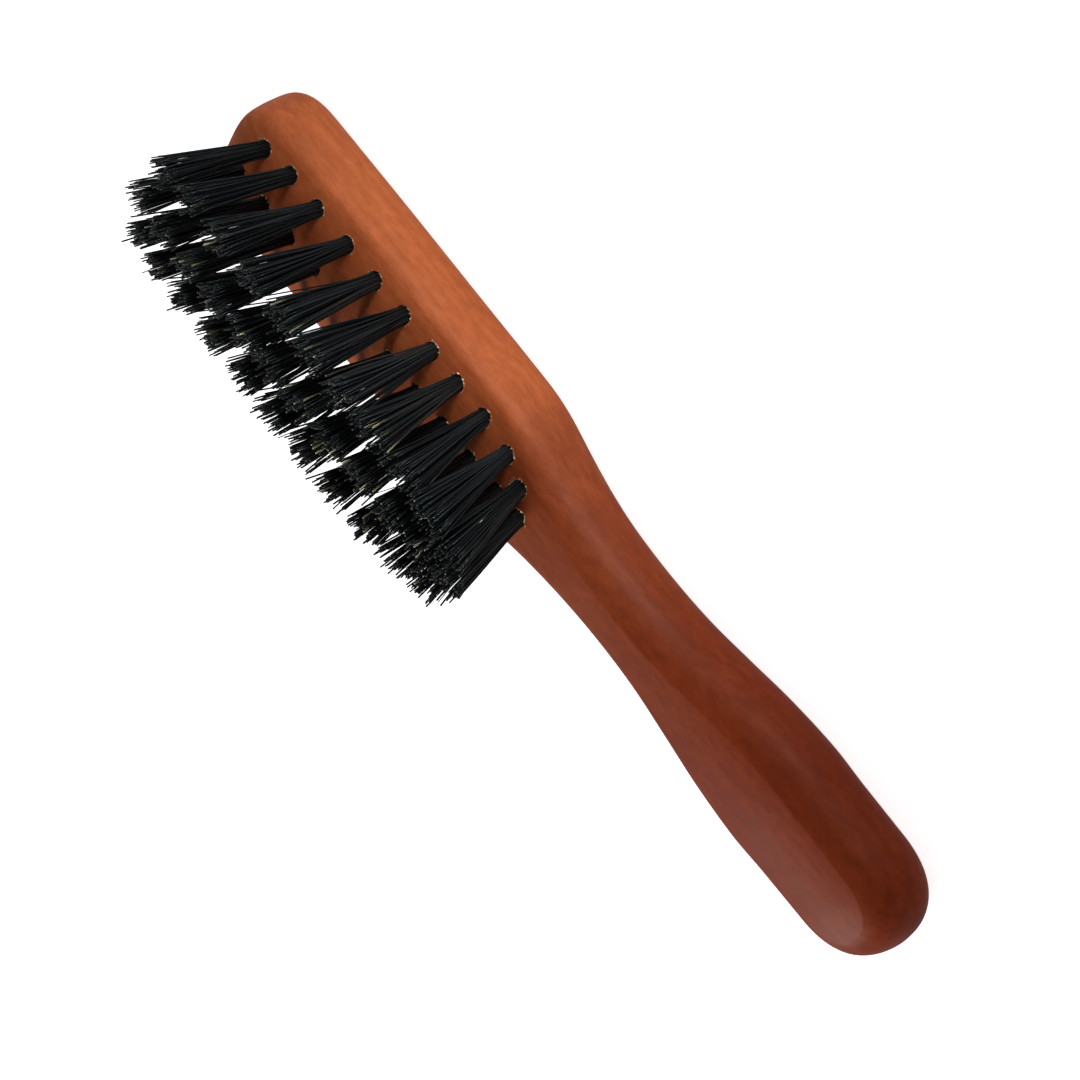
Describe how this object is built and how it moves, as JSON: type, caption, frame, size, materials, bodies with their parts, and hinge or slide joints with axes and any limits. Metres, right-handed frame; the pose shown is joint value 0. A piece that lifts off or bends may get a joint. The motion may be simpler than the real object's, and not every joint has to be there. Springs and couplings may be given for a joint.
{
  "type": "beard brush",
  "caption": "Small handled beard brush: a flat-backed wooden body with a crowned bristle face, set with rows of stiff dark boar bristle tufts, a waisted neck and a round-ended grip.",
  "frame": {"origin": "on the flat back of the brush, half way along the wood and on its centre line", "axes": "+Z out of the bristle face, +X along the brush toward the tip of the head, +Y across it"},
  "size_m": [0.135, 0.0212, 0.0277],
  "materials": {
    "wood": "oiled pearwood, satin, reddish brown",
    "bristle": "natural black boar bristle, slight sheen, pale cut ends",
    "anchor_wire": "plain drawn flat wire, hidden in the holes"
  },
  "bodies": {
    "root": {"body": "wood", "tuft_near_01": "bristle", "tuft_near_02": "bristle", "tuft_near_03": "bristle", "tuft_near_04": "bristle", "tuft_near_05": "bristle", "tuft_near_06": "bristle", "tuft_near_07": "bristle", "tuft_near_08": "bristle", "tuft_near_09": "bristle", "tuft_near_10": "bristle", "tuft_near_11": "bristle", "tuft_mid_01": "bristle", "tuft_mid_02": "bristle", "tuft_mid_03": "bristle", "tuft_mid_04": "bristle", "tuft_mid_05": "bristle", "tuft_mid_06": "bristle", "tuft_mid_07": "bristle", "tuft_mid_08": "bristle", "tuft_mid_09": "bristle", "tuft_mid_10": "bristle", "tuft_mid_11": "bristle", "tuft_mid_12": "bristle", "tuft_far_01": "bristle", "tuft_far_02": "bristle", "tuft_far_03": "bristle", "tuft_far_04": "bristle", "tuft_far_05": "bristle", "tuft_far_06": "bristle", "tuft_far_07": "bristle", "tuft_far_08": "bristle", "tuft_far_09": "bristle", "tuft_far_10": "bristle", "tuft_far_11": "bristle", "anchors_near": "anchor_wire", "anchors_mid": "anchor_wire", "anchors_far": "anchor_wire"}
  },
  "joints": []
}
